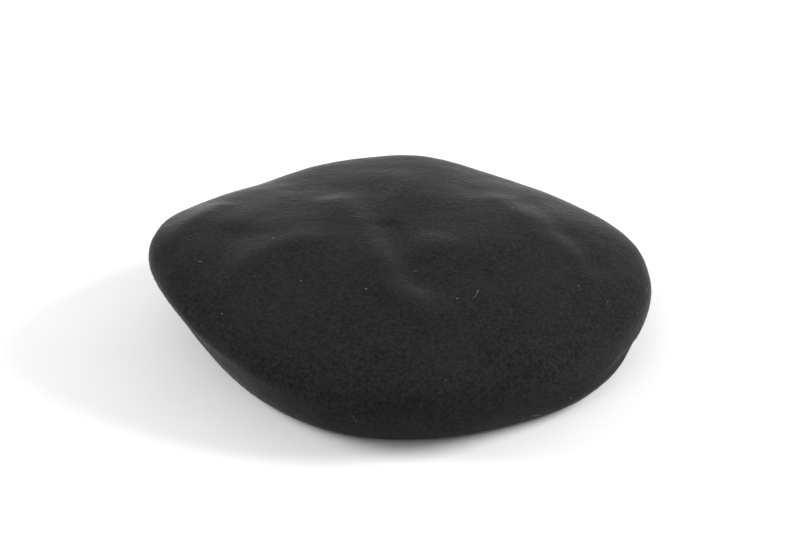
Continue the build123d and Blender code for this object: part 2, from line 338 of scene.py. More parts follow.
def ribbon_material():
    """Grosgrain: close ribs across the ribbon, on a black rayon ground."""
    ribbon = Material("bow_ribbon", 0.5, Specular_IOR_Level=0.4, Sheen_Weight=0.25)
    ribs = {"Vector": ribbon.place, "Scale": BAND_PERIOD * 1.2 / MM, "Distortion": 0.4, "Detail": 1.0}
    height = ribbon.node("TexWave", ribs, bands_direction="X").outputs["Fac"]
    ribbon.colour(ribbon.ramp(height, [(0.1, (0.008, 0.008, 0.009)), (0.85, (0.035, 0.035, 0.038))]))
    ribbon.roughness(ribbon.range(ribbon.noise(300), 0.3, 0.7, 0.42, 0.6))
    ribbon.bump(height, 0.15, 0.8)
    return ribbon.material


def thread_material(name, dark, light):
    thread = Material(name, 0.6, Specular_IOR_Level=0.35, Sheen_Weight=0.3)
    ply = {"Vector": thread.place, "Scale": BAND_PERIOD * 1.4 / MM, "Distortion": 1.5, "Detail": 2.0}
    twist = thread.node("TexWave", ply, bands_direction="DIAGONAL").outputs["Fac"]
    thread.colour(thread.ramp(twist, [(0.2, dark), (0.8, light)]))
    thread.roughness(thread.range(twist, 0, 1, 0.72, 0.52))
    thread.bump(twist, 0.08, 0.8)
    return thread.material


def floor_material():
    floor = Material("pale_floor", 0.85, Specular_IOR_Level=0.1)
    floor.colour(floor.ramp(floor.noise(6, 4), [(0.3, (0.82, 0.82, 0.82)), (0.7, (0.86, 0.86, 0.86))]))
    floor.bump(floor.noise(500, 3), 0.03, 0.2)
    return floor.material


# --- The camera, the lights and the floor ---------------------------------------------------------
CAMERA_ELEVATION = 26.0
CAMERA_DISTANCE = 1.10  # metres
CAMERA_LENS = 85.7
AIM = Vector((-0.001, 0.0, 0.0442))
WORLD_LIGHT = 0.5
FLOOR_HALF = 6000.0


def make_camera():
    data = bpy.data.cameras.new("camera")
    data.lens = CAMERA_LENS
    data.sensor_width = 36.0
    camera = bpy.data.objects.new("camera", data)
    bpy.context.scene.collection.objects.link(camera)
    tilt = math.radians(CAMERA_ELEVATION)
    camera.location = AIM + CAMERA_DISTANCE * Vector((0, -math.cos(tilt), math.sin(tilt)))
    camera.rotation_euler = (math.radians(90) - tilt, 0, 0)
    bpy.context.scene.camera = camera


def area_light(name, place, target, size, watts):
    data = bpy.data.lights.new(name, "AREA")
    data.shape = "DISK"
    data.size = size
    data.energy = watts
    light = bpy.data.objects.new(name, data)
    bpy.context.scene.collection.objects.link(light)
    light.location = place
    light.rotation_euler = (Vector(target) - Vector(place)).to_track_quat("-Z", "Y").to_euler()


def make_studio():
    area_light("front", (-0.3, -1.4, 1.3), (0, 0, 0), 1.2, 7)
    area_light("side_left", (-1.5, 0.05, 0.85), (0, 0, 0.04), 0.9, 25)
    area_light("side_right", (1.5, 0.0, 0.85), (0, 0, 0.04), 0.9, 37)
    world = bpy.data.worlds.new("studio")
    bpy.context.scene.world = world
    world.use_nodes = True
    background = world.node_tree.nodes["Background"]
    background.inputs["Color"].default_value = (1, 1, 1, 1)
    background.inputs["Strength"].default_value = WORLD_LIGHT
    bpy.context.scene.view_settings.view_transform = "Standard"
    corners = [(x * FLOOR_HALF, y * FLOOR_HALF, 0) for x, y in ((-1, -1), (1, -1), (1, 1), (-1, 1))]
    mesh_object("floor", corners, [(0, 1, 2, 3)], floor_material(), smooth=False)


# --- The felt crown -------------------------------------------------------------------------------
CROWN_COLUMNS, CROWN_ROWS, SOLE_ROWS = 300, 104, 12
FIRST_ALONG, LAST_ALONG = 0.02, 8.75  # along the section: close to the top, and where the flat sole starts
SOLE_ROUNDING = 0.25  # softens the turn from the foot to the sole
SOLE_LIFT = SOLE_ROUNDING / 4
OFF_TABLE, OFF_TABLE_FADE = 1.5, 12.0  # the height where the felt starts to be uneven, and its fading in
UNEVENNESS = [(0.65, 34, 1), (0.22, 13, 2)]  # (height, size, seed)
NAP = [(0.05, 3.2, 3), (0.03, 1.7, 4)]  # (height, size, seed)
EDGE_STEPS, EDGE_BULGE = 6, 0.45  # the rounded cut edge at the mouth
# The sheen steps down from the top to the underside, a painted shade that darkens the wall and the underside:
# (material, sheen, start along the section)
FELT_SHADE_ZONES = [
    ("wool_felt", 0.38, 0.0),
    ("wool_felt_rim", 0.29, 5.15),
    ("wool_felt_turn", 0.19, 5.5),
    ("wool_felt_under", 0.1, 5.8),
]


def control_profile(angle):
    """Control points (radius, height) of the crown's section, from the top to the sole, in each direction."""
    rim = RIM_RADIUS + wave(RIM_WAVES, angle)
    height = RIM_HEIGHT + wave(HEIGHT_WAVES, angle)
    foot = FOOT_RADIUS + wave(FOOT_WAVES, angle)
    for direction, width, more_rim, more_height, more_foot in SLUMPS:
        share = np.exp(-((turn_between(angle, direction) / width) ** 2))
        rim, height, foot = rim + more_rim * share, height + more_height * share, foot + more_foot * share
    shoulder = height + SHOULDER + SHOULDER_TILT * np.sin(angle)
    level = np.ones_like(angle)

    def dome(share):
        return shoulder + (CROWN_HEIGHT - shoulder) * (1 - share**DOME_POWER)

    return [
        (-0.28 * rim, level * (CROWN_HEIGHT - 0.6)),  # past the middle, which keeps the dimple smooth
        (0 * rim, level * (CROWN_HEIGHT - DIMPLE)),
        (0.28 * rim, level * (CROWN_HEIGHT - 0.6)),
        (0.56 * rim, dome(0.56)),
        (0.80 * rim, dome(0.80)),
        (rim - 6, shoulder),
        (rim + 2, height + 1),  # round the rolled rim
        (rim, height - 12),
        (foot + 13, 0.35 * height - 1),  # the wall
        (foot + 3, level * 2),  # the turn at the foot
        (foot - 5, level * -1),  # the sole
        (foot - 14, level * -1),
        (foot - 23, level * -1),
    ]


def crown_ring(angle, along):
    """Radius and height of the crown's outside all the way round, at one place along its section."""
    profile = control_profile(angle)
    span = min(int(along), len(profile) - 4)
    u = along - span
    weights = ((1 - u) ** 3, 3 * u**3 - 6 * u**2 + 4, -3 * u**3 + 3 * u**2 + 3 * u + 1, u**3)
    near = list(zip(weights, profile[span : span + 4]))
    radius = sum(w * r for w, (r, _) in near) / 6
    height = sum(w * z for w, (_, z) in near) / 6
    return radius, (height + np.sqrt(height**2 + SOLE_ROUNDING)) / 2 + SOLE_LIFT


def mouth_radius(angle, offset):
    """Distance from the middle to the head oval, grown by offset, in a direction."""
    return 1 / np.hypot(np.cos(angle) / (HEAD_X + offset), np.sin(angle) / (HEAD_Y + offset))


def grid_normals(grid):
    """Outward normals of a grid whose rows run down the crown and whose columns run round it."""
    down = np.gradient(grid, axis=0)
    round_way = np.roll(grid, -1, axis=1) - np.roll(grid, 1, axis=1)
    normals = np.cross(down, round_way)
    return normals / np.linalg.norm(normals, axis=-1, keepdims=True)


def stroke_height(x, y, points, half_width):
    """1 on a stroke of straight runs seen from above, fading to 0 away from it."""
    nearest = np.full(x.shape, 1e9)
    for (ax, ay), (bx, by) in zip(points, points[1:] or points):
        run = max((bx - ax) ** 2 + (by - ay) ** 2, 1e-9)
        share = np.clip(((x - ax) * (bx - ax) + (y - ay) * (by - ay)) / run, 0, 1)
        nearest = np.minimum(nearest, np.hypot(x - ax - share * (bx - ax), y - ay - share * (by - ay)))
    return np.exp(-((nearest / half_width) ** 2))


def noise_field(grid, size_mm, seed):
    """Smooth noise over a grid of points, about -1 to 1."""
    shift = Vector((seed * 7.3, seed * 3.1, seed * 5.7))
    flat = [noise.noise(Vector(p) / size_mm + shift) for p in grid.reshape(-1, 3)]
    return np.array(flat).reshape(grid.shape[:2])


def layered_noise(grid, layers):
    """The sum of noises, each of its own (height, size, seed)."""
    return sum(height * noise_field(grid, size, seed) for height, size, seed in layers)


def crown_grid():
    """The crown's outside from the top to the mouth: with its folds and dents, and then with its nap too."""
    angle = np.linspace(0, TAU, CROWN_COLUMNS, endpoint=False)
    alongs = np.linspace(FIRST_ALONG, LAST_ALONG, CROWN_ROWS)
    rings = [crown_ring(angle, along) for along in alongs]
    foot_radius, foot_height = rings[-1]
    mouth = mouth_radius(angle, MOUTH_OFFSET)
    for share in np.linspace(0, 1, SOLE_ROWS + 1)[1:]:
        rings.append((foot_radius + (mouth - foot_radius) * share, foot_height))
    grid = np.array([np.stack([r * np.cos(angle), r * np.sin(angle), z], axis=-1) for r, z in rings])

    normals = grid_normals(grid)
    x, y, z = grid[..., 0], grid[..., 1], grid[..., 2]
    place = np.concatenate([alongs, np.full(SOLE_ROWS, LAST_ALONG)])[:, None]
    on_top = np.clip((normals[..., 2] - 0.05) / 0.5, 0, 1)
    push = sum(height * stroke_height(x, y, points, width) for height, width, points in FOLDS) * on_top
    for height, direction, width, at, depth in TUCKS:
        round_way, down = turn_between(angle, direction) / width, (place - at) / depth
        push += height * np.exp(-(round_way**2) - down**2)
    off_table = np.clip((z - OFF_TABLE) / OFF_TABLE_FADE, 0, 1)
    push += off_table * layered_noise(grid, UNEVENNESS)
    smooth = grid + normals * push[..., None]
    nap = np.clip(z / 4, 0.15, 1) * layered_noise(grid, NAP)
    return smooth, smooth + grid_normals(smooth) * nap[..., None]


def paint_zones(shell, rows, materials):
    """Give each row of the shell the felt of its zone. The mouth's edge and the inside have the last one."""
    # Rows lower down get the copies of the felt with less sheen: painted shade.
    starts = [start for _, _, start in FELT_SHADE_ZONES]
    zone_of_row = np.full(rows, len(materials) - 1)
    alongs = np.linspace(0, LAST_ALONG, CROWN_ROWS)
    zone_of_row[:CROWN_ROWS] = np.searchsorted(starts, alongs, side="right") - 1
    for material in materials[1:]:
        shell.data.materials.append(material)
    # The faces between the rows come first in the mesh, and the two caps last.
    index = np.zeros(len(shell.data.polygons), dtype=int)
    index[: (rows - 1) * CROWN_COLUMNS] = np.repeat(zone_of_row[:-1], CROWN_COLUMNS)
    shell.data.polygons.foreach_set("material_index", index.tolist())


def make_crown(materials):
    """The felt shell: outside, rounded mouth edge and inside, as one closed skin."""
    smooth, outside = crown_grid()
    inside = smooth - FELT * grid_normals(smooth)
    edge_out, edge_in = outside[-1], inside[-1]
    toward_middle = -smooth[-1] * [1, 1, 0]
    toward_middle /= np.linalg.norm(toward_middle, axis=-1, keepdims=True)
    edge = []
    for turn in np.linspace(0, math.pi, EDGE_STEPS + 1)[1:-1]:
        middle = edge_out + (edge_in - edge_out) * (1 - math.cos(turn)) / 2
        edge.append(middle + toward_middle * EDGE_BULGE * math.sin(turn))
    loops = np.concatenate([outside, np.array(edge), inside[::-1]])
    shell = skin("felt_shell", loops, materials[0])
    paint_zones(shell, len(loops), materials)
    finish_piece(shell, "beret", "wool_felt", "felt_crown")
    return smooth


# --- Wool hairs and lint --------------------------------------------------------------------------
HAIRS, SPECKS, STRANDS = 5200, 90, 6
HAIR_RADIUS = 0.028
HAIR_ROWS, TOP_ROWS = CROWN_ROWS - 8, 60  # the crown's rows that have hairs, and those seen from above


def make_fibres(smooth, material, lint_material):
    """Short wool hairs that stand out of the felt, and a little pale lint."""
    draw = random.Random(11)
    normals = grid_normals(smooth)

    def hair(length, radius, lift, curl, place=None, direction=None):
        # Rings get longer away from the top, so the square root draws those rows more often.
        row = int(HAIR_ROWS * math.sqrt(draw.random()) * 0.999)
        column = draw.randrange(CROWN_COLUMNS)
        if place:
            away = np.hypot(smooth[:TOP_ROWS, :, 0] - place[0], smooth[:TOP_ROWS, :, 1] - place[1])
            row, column = np.unravel_index(np.argmin(away), away.shape)
        root, normal = smooth[row, column], normals[row, column]
        jitter = np.array(direction or [draw.uniform(-1, 1) for _ in range(3)])
        along = jitter - normal * jitter.dot(normal)
        along /= np.linalg.norm(along) + 1e-9
        across = np.cross(normal, along)
        start = root + across * draw.uniform(-1.4, 1.4) + along * draw.uniform(-1.4, 1.4) - normal * 0.1
        bend = draw.uniform(-curl, curl)
        loops = []
        for share in (0.0, 0.35, 0.7, 1.0):
            out = length * lift * math.sin(share * 2.0)
            middle = start + along * length * share + across * bend * share**2 * length + normal * out
            thin = radius * (1 - 0.6 * share)
            corners = [across * thin, (normal - across * 0.5) * thin, (-normal - across * 0.5) * thin]
            loops.append([middle + corner for corner in corners])
        return loops

    hairs = [hair(draw.uniform(0.8, 2.2), HAIR_RADIUS, draw.uniform(0.1, 0.45), 0.5) for _ in range(HAIRS)]
    finish_piece(many_skins("felt_hairs", hairs, material), "beret", "wool_felt")
    specks = [hair(draw.uniform(0.4, 1.0), draw.uniform(0.08, 0.15), 0.15, 0.6) for _ in range(SPECKS)]
    specks += [hair(0.9, 0.24, 0.2, 0.5, place) for place in LINT_PLACES]
    strands = [hair(draw.uniform(4, 9), 0.05, 0.05, 0.4) for _ in range(STRANDS)]
    strands.append(hair(11.0, 0.1, 0.03, 0.25, HAIR_PLACE, (-0.12, -0.99, -0.1)))
    finish_piece(many_skins("lint", specks + strands, lint_material), "beret", "wool_felt")


# --- The head opening: leather, tapes and thread --------------------------------------------------
BAND_THICKNESS, BAND_BOTTOM, BAND_TOP, BAND_GAP = 1.2, 2.1, 29.0, 1.0
WELT_RADIUS, WELT_OFFSET, WELT_Z = 0.8, 1.15, 1.05
TAPE_INNER, TAPE_OUTER, TAPE_TOP = 1.4, 2.0, 10.0
JOIN_TAPE_WIDTH, JOIN_TAPE_PLY = 12.0, 0.5
PLY_GAP = 0.15  # between one layer and the next
TAPE_SLIMMING = 0.06  # what a tape gives up of its CAD thickness, to stay clear of its neighbours
THREAD_RADIUS = 0.26
BAND_STITCH, BAND_STITCHES, BAND_STITCH_Z = 3.0, 124, 4.6
JOIN_STITCH_HEIGHTS = (6.6, 26.0, 27.8)  # one under the bow and two above it
NO_THREAD_RUNS_THIS_WAY = (0.31, 0.17, 0.93)
STITCH_STEPS = ((0.0, -0.5), (0.06, 0.5), (0.2, 0.95), (0.5, 1.05), (0.8, 0.95), (0.94, 0.5), (1.0, -0.5))


def oval_point(turn, offset, z):
    """A point on the upright wall round the head oval, grown by offset."""
    return np.array([(HEAD_X + offset) * math.cos(turn), (HEAD_Y + offset) * math.sin(turn), z])


def oval_outward(turn):
    """The direction out of the upright wall, at a turn of the head oval."""
    outward = np.array([math.cos(turn) / HEAD_X, math.sin(turn) / HEAD_Y, 0.0])
    return outward / np.linalg.norm(outward)


def evenly_round(count):
    """Turns of the head oval that are the same distance apart along it."""
    fine = np.linspace(0, TAU, 1441)
    line = np.array([oval_point(turn, 0, 0) for turn in fine])
    length = np.concatenate([[0], np.cumsum(np.linalg.norm(np.diff(line, axis=0), axis=1))])
    return np.interp(np.arange(count) / count * length[-1], length, fine)


def turn_by(distance, middle=NORTH):
    """The turn that lies a short distance along the leather from another one."""
    return middle - distance / np.linalg.norm([HEAD_X * math.sin(middle), HEAD_Y * math.cos(middle)])


def slab(name, grid, thickness, material, wrap=False):
    """A flat strip with rounded edges, round a grid of rows along it and columns across its middle."""
    grid = np.asarray(grid, dtype=float)
    along = np.roll(grid, -1, axis=0) - np.roll(grid, 1, axis=0) if wrap else np.gradient(grid, axis=0)
    across = np.gradient(grid, axis=1)
    out = np.cross(along, across)
    out *= thickness / 2 / np.linalg.norm(out, axis=-1, keepdims=True)
    across *= 0.3 * thickness / np.linalg.norm(across, axis=-1, keepdims=True)
    first_edge, last_edge = grid[:, :1] - across[:, :1], grid[:, -1:] + across[:, -1:]
    loops = np.concatenate([grid + out, last_edge, (grid - out)[:, ::-1], first_edge], axis=1)
    return skin(name, loops, material, wrap=wrap)


def tube(points, radius, corners=7):
    """Closed loops round a path."""
    points = np.asarray(points, dtype=float)
    along = np.gradient(points, axis=0)
    along /= np.linalg.norm(along, axis=1, keepdims=True)
    side = np.cross(along, NO_THREAD_RUNS_THIS_WAY)
    side /= np.linalg.norm(side, axis=1, keepdims=True)
    other = np.cross(along, side)
    loops = []
    for point, one, two in zip(points, side, other):
        turns = np.linspace(0, TAU, corners, endpoint=False)
        loops.append([point + radius * (math.cos(turn) * one + math.sin(turn) * two) for turn in turns])
    return loops


def stitch(start, end, out, radius=THREAD_RADIUS):
    """One stitch: it comes up out of the cloth, lies on it and goes back in. out points off the cloth."""
    start, end, out = (np.asarray(value, dtype=float) for value in (start, end, out))
    path = [start + (end - start) * share + out * radius * lift for share, lift in STITCH_STEPS]
    return tube(path, radius)


def oval_slab(name, turns, offset, heights, thickness, material, wrap=False, lean=None, columns=9):
    """A strip standing on the head oval. lean(turn, share of the height) adds to its offset."""
    bottom, top = heights
    grid = []
    for turn in turns:
        row = []
        for share in np.linspace(0, 1, columns):
            more = lean(turn, share) if lean else 0.0
            row.append(oval_point(turn, offset + more, bottom + (top - bottom) * share))
        grid.append(row)
    return slab(name, grid, thickness, material, wrap)


def make_sweatband():
    half = BAND_GAP / 2
    turns = np.linspace(turn_by(-half), turn_by(half) + TAU, 300)
    middle, heights = BAND_THICKNESS / 2, (BAND_BOTTOM, BAND_TOP)

    def lean(turn, share):
        """Soft leather waves a little at its free top edge."""
        return share**2 * (0.22 * math.sin(7 * turn + 1) + 0.12 * math.sin(17 * turn))

    band = oval_slab("sweatband_leather_band", turns, middle, heights, BAND_THICKNESS, LEATHER, lean=lean)
    finish_piece(band, "beret", "sweatband_leather", "sweatband")


def make_welt():
    up = np.array([0, 0, 1.0])
    corners = np.linspace(0, TAU, 12, endpoint=False)
    loops = []
    for turn in evenly_round(240):
        middle, out = oval_point(turn, WELT_OFFSET, WELT_Z), oval_outward(turn)
        loops.append([middle + WELT_RADIUS * (math.cos(c) * out + math.sin(c) * up) for c in corners])
    finish_piece(skin("welt", loops, LEATHER, wrap=True), "beret", "sweatband_leather", "edge_welt")


def make_tapes():
    """The tape that keeps the mouth from stretching, and the one behind the leather's butt joint."""
    middle, ply = (TAPE_INNER + TAPE_OUTER) / 2, TAPE_OUTER - TAPE_INNER - TAPE_SLIMMING
    turns = np.linspace(0, TAU, 240, endpoint=False)
    heights = (BAND_BOTTOM, TAPE_TOP)
    tape = oval_slab("stay_tape_ring", turns, middle, heights, ply, TAPE, wrap=True, columns=5)
    finish_piece(tape, "beret", "cotton_tape", "stay_tape")

    half = JOIN_TAPE_WIDTH / 2
    turns = np.linspace(turn_by(-half), turn_by(half), 12)
    middle, ply = BAND_THICKNESS + PLY_GAP + JOIN_TAPE_PLY / 2, JOIN_TAPE_PLY - TAPE_SLIMMING
    backing = oval_slab("join_backing", turns, middle, (TAPE_TOP + PLY_GAP, BAND_TOP - 1), ply, TAPE)
    finish_piece(backing, "beret", "cotton_tape", "sweatband_join_tape")


def make_band_stitches():
    """The row that joins leather, tape and felt, and the cross stitches at the butt joint."""
    draw = random.Random(5)
    row = []
    for turn in evenly_round(BAND_STITCHES):
        if abs(turn_between(turn, 90)) < 2:  # the butt joint
            continue
        ends = [turn_by(d * BAND_STITCH / 2, turn) for d in (-1, 1)]
        z = BAND_STITCH_Z + draw.uniform(-0.08, 0.08)
        row.append(stitch(oval_point(ends[0], 0, z), oval_point(ends[1], 0, z), -oval_outward(turn)))
    finish_piece(many_skins("band_stitch_row", row, THREAD), "beret", "sewing_thread")

    crosses = []
    for z in JOIN_STITCH_HEIGHTS:
        for slant in (-1, 1):
            start, end = (oval_point(turn_by(side * 2.0), 0, z + side * slant * 0.5) for side in (-1, 1))
            crosses.append(stitch(start, end, (0, -1, 0)))
    row = many_skins("join_crosses", crosses, THREAD)
    finish_piece(row, "beret", "sewing_thread", "sweatband_join_stitches")


# --- The bow --------------------------------------------------------------------------------------
BOW_Z, BOW_DEPTH, BOW_GAP = 19.0, 3.6, 0.3
RIBBON_PLY, RIBBON_WIDTH = 0.5, 8.0
LOOP_LENGTH, LOOP_GAP, LOOP_DROOP = 15.0, 0.55, math.radians(5.0)
KNOT_WIDTH, KNOT_HEIGHT = 6.0, 9.0
TAIL_LENGTH, TAIL_WIDTH, TAIL_SPREAD = 12.5, 6.5, math.radians(30.0)
TAIL_START, TAIL_CLEARANCE = 2.8, 1.3  # from the knot's middle out to a tail, and from its foot down
TAIL_NARROWING, TAIL_TAPER, TAIL_SLANT = 1.6, 3.0, 1.3  # the pinched root, its length and the cut end


def bow_place(along, x, out, z):
    """A point from the middle of the bow's depth: x along the leather, out from the head, z up."""
    turn = turn_by(along)
    outward = oval_outward(turn)
    along_wall = np.array([outward[1], -outward[0], 0.0])
    middle = oval_point(turn, -BOW_GAP - BOW_DEPTH / 2, 0)
    return middle + along_wall * x + outward * out + np.array([0, 0, z])


def fuller(value, power):
    """A sine or cosine made fuller at its shoulders."""
    return math.copysign(abs(value) ** power, value)


def make_bow_loop(side, word):
    """One loop: a flattened band, drawn thin and gathered where it meets the knot."""
    along = side * (KNOT_WIDTH / 2 + LOOP_GAP + LOOP_LENGTH / 2)
    grid = []
    for turn in np.linspace(0, TAU, 72, endpoint=False):
        share = (1 + math.cos(turn)) / 2
        x = (LOOP_LENGTH / 2 - RIBBON_PLY / 2) * math.cos(turn)
        fullness = 0.42 + 0.58 * math.sin(math.pi * min(1.0, 0.12 + 0.78 * share))
        out = (BOW_DEPTH - RIBBON_PLY) / 2 * fullness * fuller(math.sin(turn), 0.55)
        half = RIBBON_WIDTH / 2 * (0.66 + 0.34 * min(1.0, share / 0.55))
        droop = -x * math.tan(LOOP_DROOP)
        row = []
        for across in np.linspace(-1, 1, 7):
            ripple = 0.12 * math.cos(4 * across) * (1 - share)
            row.append(bow_place(along, side * x, out + ripple, BOW_Z + half * across + droop))
        grid.append(row)
    loop = slab("bow_loop_" + word, grid, RIBBON_PLY, RIBBON, wrap=True)
    finish_piece(loop, "beret", "bow_ribbon", *(["bow_loops"] if side == 1 else []))


def make_bow_tail(side, word):
    """One ribbon end, pinched at the knot and cut on a slant."""
    root_z = BOW_Z - KNOT_HEIGHT / 2 - TAIL_CLEARANCE
    grid = []
    for share in np.linspace(0, 1, 16):
        down = -TAIL_LENGTH * share
        half = TAIL_WIDTH / 2 - TAIL_NARROWING * max(0.0, 1 - share * TAIL_LENGTH / TAIL_TAPER)
        row = []
        for across in np.linspace(-1, 1, 7):
            x = half * across
            z = down - side * TAIL_SLANT * across * share**3
            curl = 0.5 * math.sin(2.6 * share) - 0.12 * across**2
            along = side * TAIL_START + x * math.cos(TAIL_SPREAD) - side * z * math.sin(TAIL_SPREAD)
            up = z * math.cos(TAIL_SPREAD) + side * x * math.sin(TAIL_SPREAD)
            row.append(bow_place(0, along, curl, root_z + up))
        grid.append(row)
    tail = slab("tail_ribbon_" + word, grid, RIBBON_PLY, RIBBON)
    finish_piece(tail, "tail_" + word, "bow_ribbon", "bow_tail_" + word)


def make_knot():
    """The ribbon wrapped round the middle, with its ends drawn in."""
    loops = []
    for share in np.linspace(-1, 1, 13):
        shrink = (1 - 0.35 * abs(share) ** 5) * (1.0 - 0.06 * math.cos(math.pi * share))
        loop = []
        for turn in np.linspace(0, TAU, 28, endpoint=False):
            out = (BOW_DEPTH / 2 + 0.15) * fuller(math.cos(turn), 0.6)
            z = KNOT_HEIGHT / 2 * fuller(math.sin(turn), 0.6)
            loop.append(bow_place(0, share * KNOT_WIDTH / 2, out * shrink, BOW_Z + z * shrink))
        loops.append(loop)
    finish_piece(skin("knot_wrap", loops, RIBBON), "beret", "bow_ribbon", "bow_knot")


def make_bow():
    for side, word in ((-1, "left"), (1, "right")):
        make_bow_loop(side, word)
        make_bow_tail(side, word)
    make_knot()

    top = BOW_Z + KNOT_HEIGHT / 2
    tacks = []
    for x in (-1.3, 1.3):
        turn = turn_by(x)
        ends = (oval_point(turn, 0, top - 0.2), oval_point(turn, 0, top + 1.5))
        tacks.append(stitch(*ends, -oval_outward(turn)))
    finish_piece(many_skins("bow_tacks", tacks, THREAD), "beret", "sewing_thread", "bow_stitches")


# --- The lining -----------------------------------------------------------------------------------
LINING = 0.8
LINING_FOOT_OFFSET, LINING_FOOT_Z = 3.0, 3.1
LINING_RADIUS, LINING_EDGE_Z, LINING_RISE = 118.0, 40.0, 3.0
GATHER_WIDTH, SLACK = 26.0, 2.3  # the puckered rim of the tip, and how loose its satin lies
PATCH_REACH = 46.0  # no slack nearer the middle, where the patch is sewn
BACK_SEAM_WIDTH, BACK_SEAM_PLY = 7.0, 0.6
PATCH_LENGTH, PATCH_WIDTH, PATCH_PLY, PATCH_CORNER = 76.0, 50.0, 0.6, 5.0
PATCH_LINE, PATCH_ROW = 0.855, 0.93  # the pressed line and the stitches, as shares of the outline
LINING_STITCHES, PATCH_STITCHES = 150, 44


def tip_underside(x, y):
    """Height of the smooth tip's underside."""
    return LINING_EDGE_Z + LINING_RISE * (1 - (x * x + y * y) / LINING_RADIUS**2)


def disc(name, rings, thickness, material):
    """A thin sheet over rings of points from its middle outward, lying with these points on its underside."""
    rings = np.asarray(rings, dtype=float)
    top = rings + [0, 0, thickness]
    edge = (rings[-1] + top[-1]) / 2 + 0.3 * thickness * rings[-1] / LINING_RADIUS
    return skin(name, np.concatenate([rings, [edge], top[::-1]]), material)


def tip_slack(x, y):
    """Loose satin: gathers at the edge seam, soft waves between, and nothing over the patch."""
    radius, turn = math.hypot(x, y), math.atan2(y, x)
    from_seam = LINING_RADIUS - radius
    puckers = 1 + math.sin(64 * turn + 3 * math.sin(5 * turn))
    gather = 0.55 * max(0.0, 1 - from_seam / GATHER_WIDTH) * puckers
    free = min(1.0, max(0.0, (radius - PATCH_REACH) / 20)) * min(1.0, from_seam / 14)
    swell = noise.noise(Vector((x / 27, y / 27, 4.2))) + 0.5 * noise.noise(Vector((x / 11, y / 11, 9.1)))
    return max(0.0, gather * min(1.0, from_seam / 3) + SLACK * free * (0.7 + swell))


def make_tip():
    rings = []
    for share in np.linspace(0.004, 1, 46):
        radius = LINING_RADIUS * share
        ring = []
        for turn in np.linspace(0, TAU, 288, endpoint=False):
            x, y = radius * math.cos(turn), radius * math.sin(turn)
            ring.append((x, y, tip_underside(x, y) + tip_slack(x, y)))
        rings.append(ring)
    tip = disc("satin_tip", rings, LINING - 0.1, SATIN)
    finish_piece(tip, "beret", "satin_lining", "lining_tip")


def side_point(turn, share, out):
    """A point of the side lining: share runs from the mouth up to the tip's seam."""
    foot = mouth_radius(turn, LINING_FOOT_OFFSET)
    radius = foot + (LINING_RADIUS - LINING - foot) * share + out
    z = LINING_FOOT_Z + (LINING_EDGE_Z - PLY_GAP - LINING_FOOT_Z) * share
    return (radius * math.cos(turn), radius * math.sin(turn), z)


def make_side():
    """The side lining: pleated where it is gathered to the mouth, and slack half way up."""
    grid = []
    for turn in np.linspace(0, TAU, 480, endpoint=False):
        folds = math.sin(58 * turn + 2 * math.sin(7 * turn))
        row = []
        for share in np.linspace(0, 1, 13):
            fade = math.sin(math.pi * min(1, 4 * share) / 2)
            pleat = 0.5 * (1 - share) * folds * fade
            slack = 0.55 * math.sin(math.pi * share) * (0.4 + math.sin(9 * turn + 3 * share) * 0.6)
            row.append(side_point(turn, share, LINING / 2 + pleat + slack))
        grid.append(row)
    side = slab("satin_side", grid, LINING - 0.15, SATIN, wrap=True)
    finish_piece(side, "beret", "satin_lining", "lining_side")


def make_back_seam():
    inward = -PLY_GAP - BACK_SEAM_PLY / 2 - 0.5
    grid = []
    for x in np.linspace(-BACK_SEAM_WIDTH / 2, BACK_SEAM_WIDTH / 2, 7):
        turn = NORTH - x / (HEAD_Y + 10)
        grid.append([side_point(turn, share, inward) for share in np.linspace(0.03, 0.97, 20)])
    seam = slab("satin_back_seam", grid, BACK_SEAM_PLY - 0.1, SATIN)
    finish_piece(seam, "beret", "satin_lining", "lining_back_seam")


def patch_point(turn, shrink):
    """A point on a lozenge with rounded corners, made smaller by shrink."""
    half_x, half_y = PATCH_LENGTH / 2, PATCH_WIDTH / 2
    c, s = abs(math.cos(turn)), abs(math.sin(turn))
    sharp = 1 / (c / half_x + s / half_y)
    inner = 1 / math.hypot(c / (half_x - PATCH_CORNER), s / (half_y - PATCH_CORNER * 0.4))
    radius = (sharp**-9 + inner**-9) ** (-1 / 9) * shrink
    return radius * math.cos(turn), radius * math.sin(turn)


def make_patch():
    """The blank leather lozenge, with a pressed line near its edge and its stitching."""
    rings = []
    for shrink in (0.01, 0.25, 0.5, 0.7, 0.8, 0.84, PATCH_LINE, 0.87, 0.91, 0.96, 0.985, 1.0):
        line = 0.16 * math.exp(-(((shrink - PATCH_LINE) / 0.012) ** 2))
        worn_edge = 0.2 * max(0.0, (shrink - 0.97) / 0.03) ** 2
        ring = []
        for turn in np.linspace(0, TAU, 120, endpoint=False):
            x, y = patch_point(turn, shrink)
            ring.append((x, y, tip_underside(x, y) - PLY_GAP - PATCH_PLY + (line + worn_edge)))
        rings.append(ring)
    patch = disc("leather_lozenge", rings, PATCH_PLY - 0.2, PATCH_LEATHER)
    finish_piece(patch, "beret", "patch_leather", "lining_patch")

    row = []
    for k in range(PATCH_STITCHES):
        turn = TAU * (k + 0.5) / PATCH_STITCHES
        reach = 1.15 / math.hypot(*patch_point(turn, PATCH_ROW))
        ends = []
        for side in (-1, 1):
            x, y = patch_point(turn + side * reach, PATCH_ROW)
            ends.append((x, y, tip_underside(x, y) - PLY_GAP - PATCH_PLY))
        row.append(stitch(*ends, (0, 0, -1), 0.22))
    finish_piece(many_skins("patch_stitch_row", row, THREAD), "beret", "sewing_thread")


